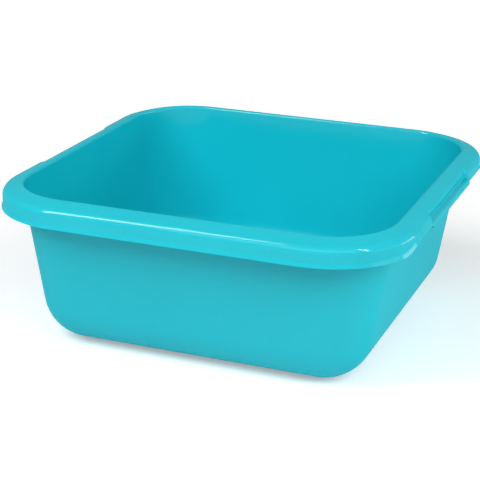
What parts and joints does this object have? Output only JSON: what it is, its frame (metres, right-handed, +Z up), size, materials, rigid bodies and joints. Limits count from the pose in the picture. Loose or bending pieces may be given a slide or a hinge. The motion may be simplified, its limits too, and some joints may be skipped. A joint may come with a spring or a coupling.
{
  "type": "washing up bowl",
  "caption": "Square plastic washing up bowl with leaning walls, rounded corners, a rolled rim and a hand grip in each side.",
  "frame": {"origin": "on the table, under the middle of the bowl", "axes": "+Z up out of the bowl's mouth; the hand grips are on the +X and -X sides; the front is towards -Y"},
  "size_m": [0.32, 0.32, 0.124],
  "materials": {
    "bowl_plastic": "smooth glossy turquoise moulding"
  },
  "bodies": {
    "root": {"floor_panel": "bowl_plastic", "stand_ring": "bowl_plastic", "base_bend": "bowl_plastic", "basin_wall": "bowl_plastic", "rim_band": "bowl_plastic", "front_skirt": "bowl_plastic", "rear_skirt": "bowl_plastic", "left_grip": "bowl_plastic", "right_grip": "bowl_plastic"}
  },
  "joints": []
}
